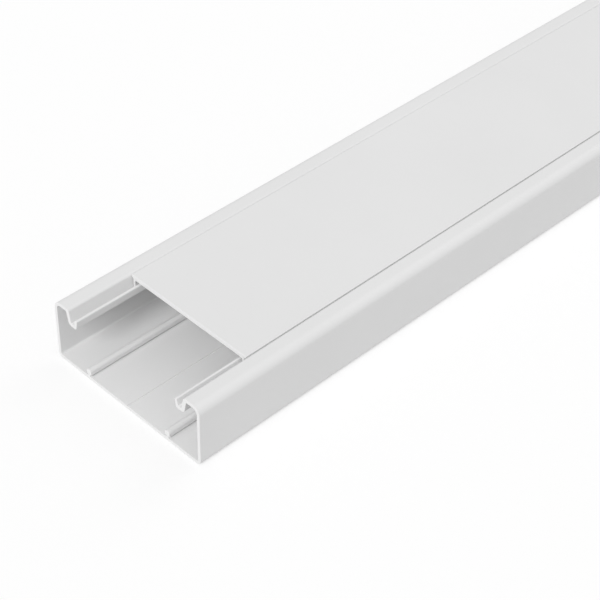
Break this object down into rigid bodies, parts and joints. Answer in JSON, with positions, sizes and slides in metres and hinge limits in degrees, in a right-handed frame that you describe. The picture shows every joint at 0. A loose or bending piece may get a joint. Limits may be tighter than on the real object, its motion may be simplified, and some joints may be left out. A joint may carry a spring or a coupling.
{
  "type": "cord cover raceway",
  "caption": "Straight plastic raceway for cords: a channel with inward flanges and grooves, and a flat lid clipped between them.",
  "frame": {"origin": "middle of the channel's flat back, half way along its length", "axes": "+X across the width to the right, +Y along the length towards the end where the lid is flush, +Z from the back out to the lid"},
  "size_m": [0.1, 2, 0.035],
  "materials": {
    "channel_plastic": "extruded rigid white PVC with a fine satin surface",
    "lid_plastic": "extruded rigid white PVC with a fine satin surface"
  },
  "bodies": {
    "channel": {"base_channel": "channel_plastic"},
    "lid": {"clip_on_lid": "lid_plastic"}
  },
  "joints": [
    {"name": "lid_lift", "type": "slide", "parent": "channel", "child": "lid", "axis": [0, 0, 1], "range_m": [0, 0.05]}
  ]
}
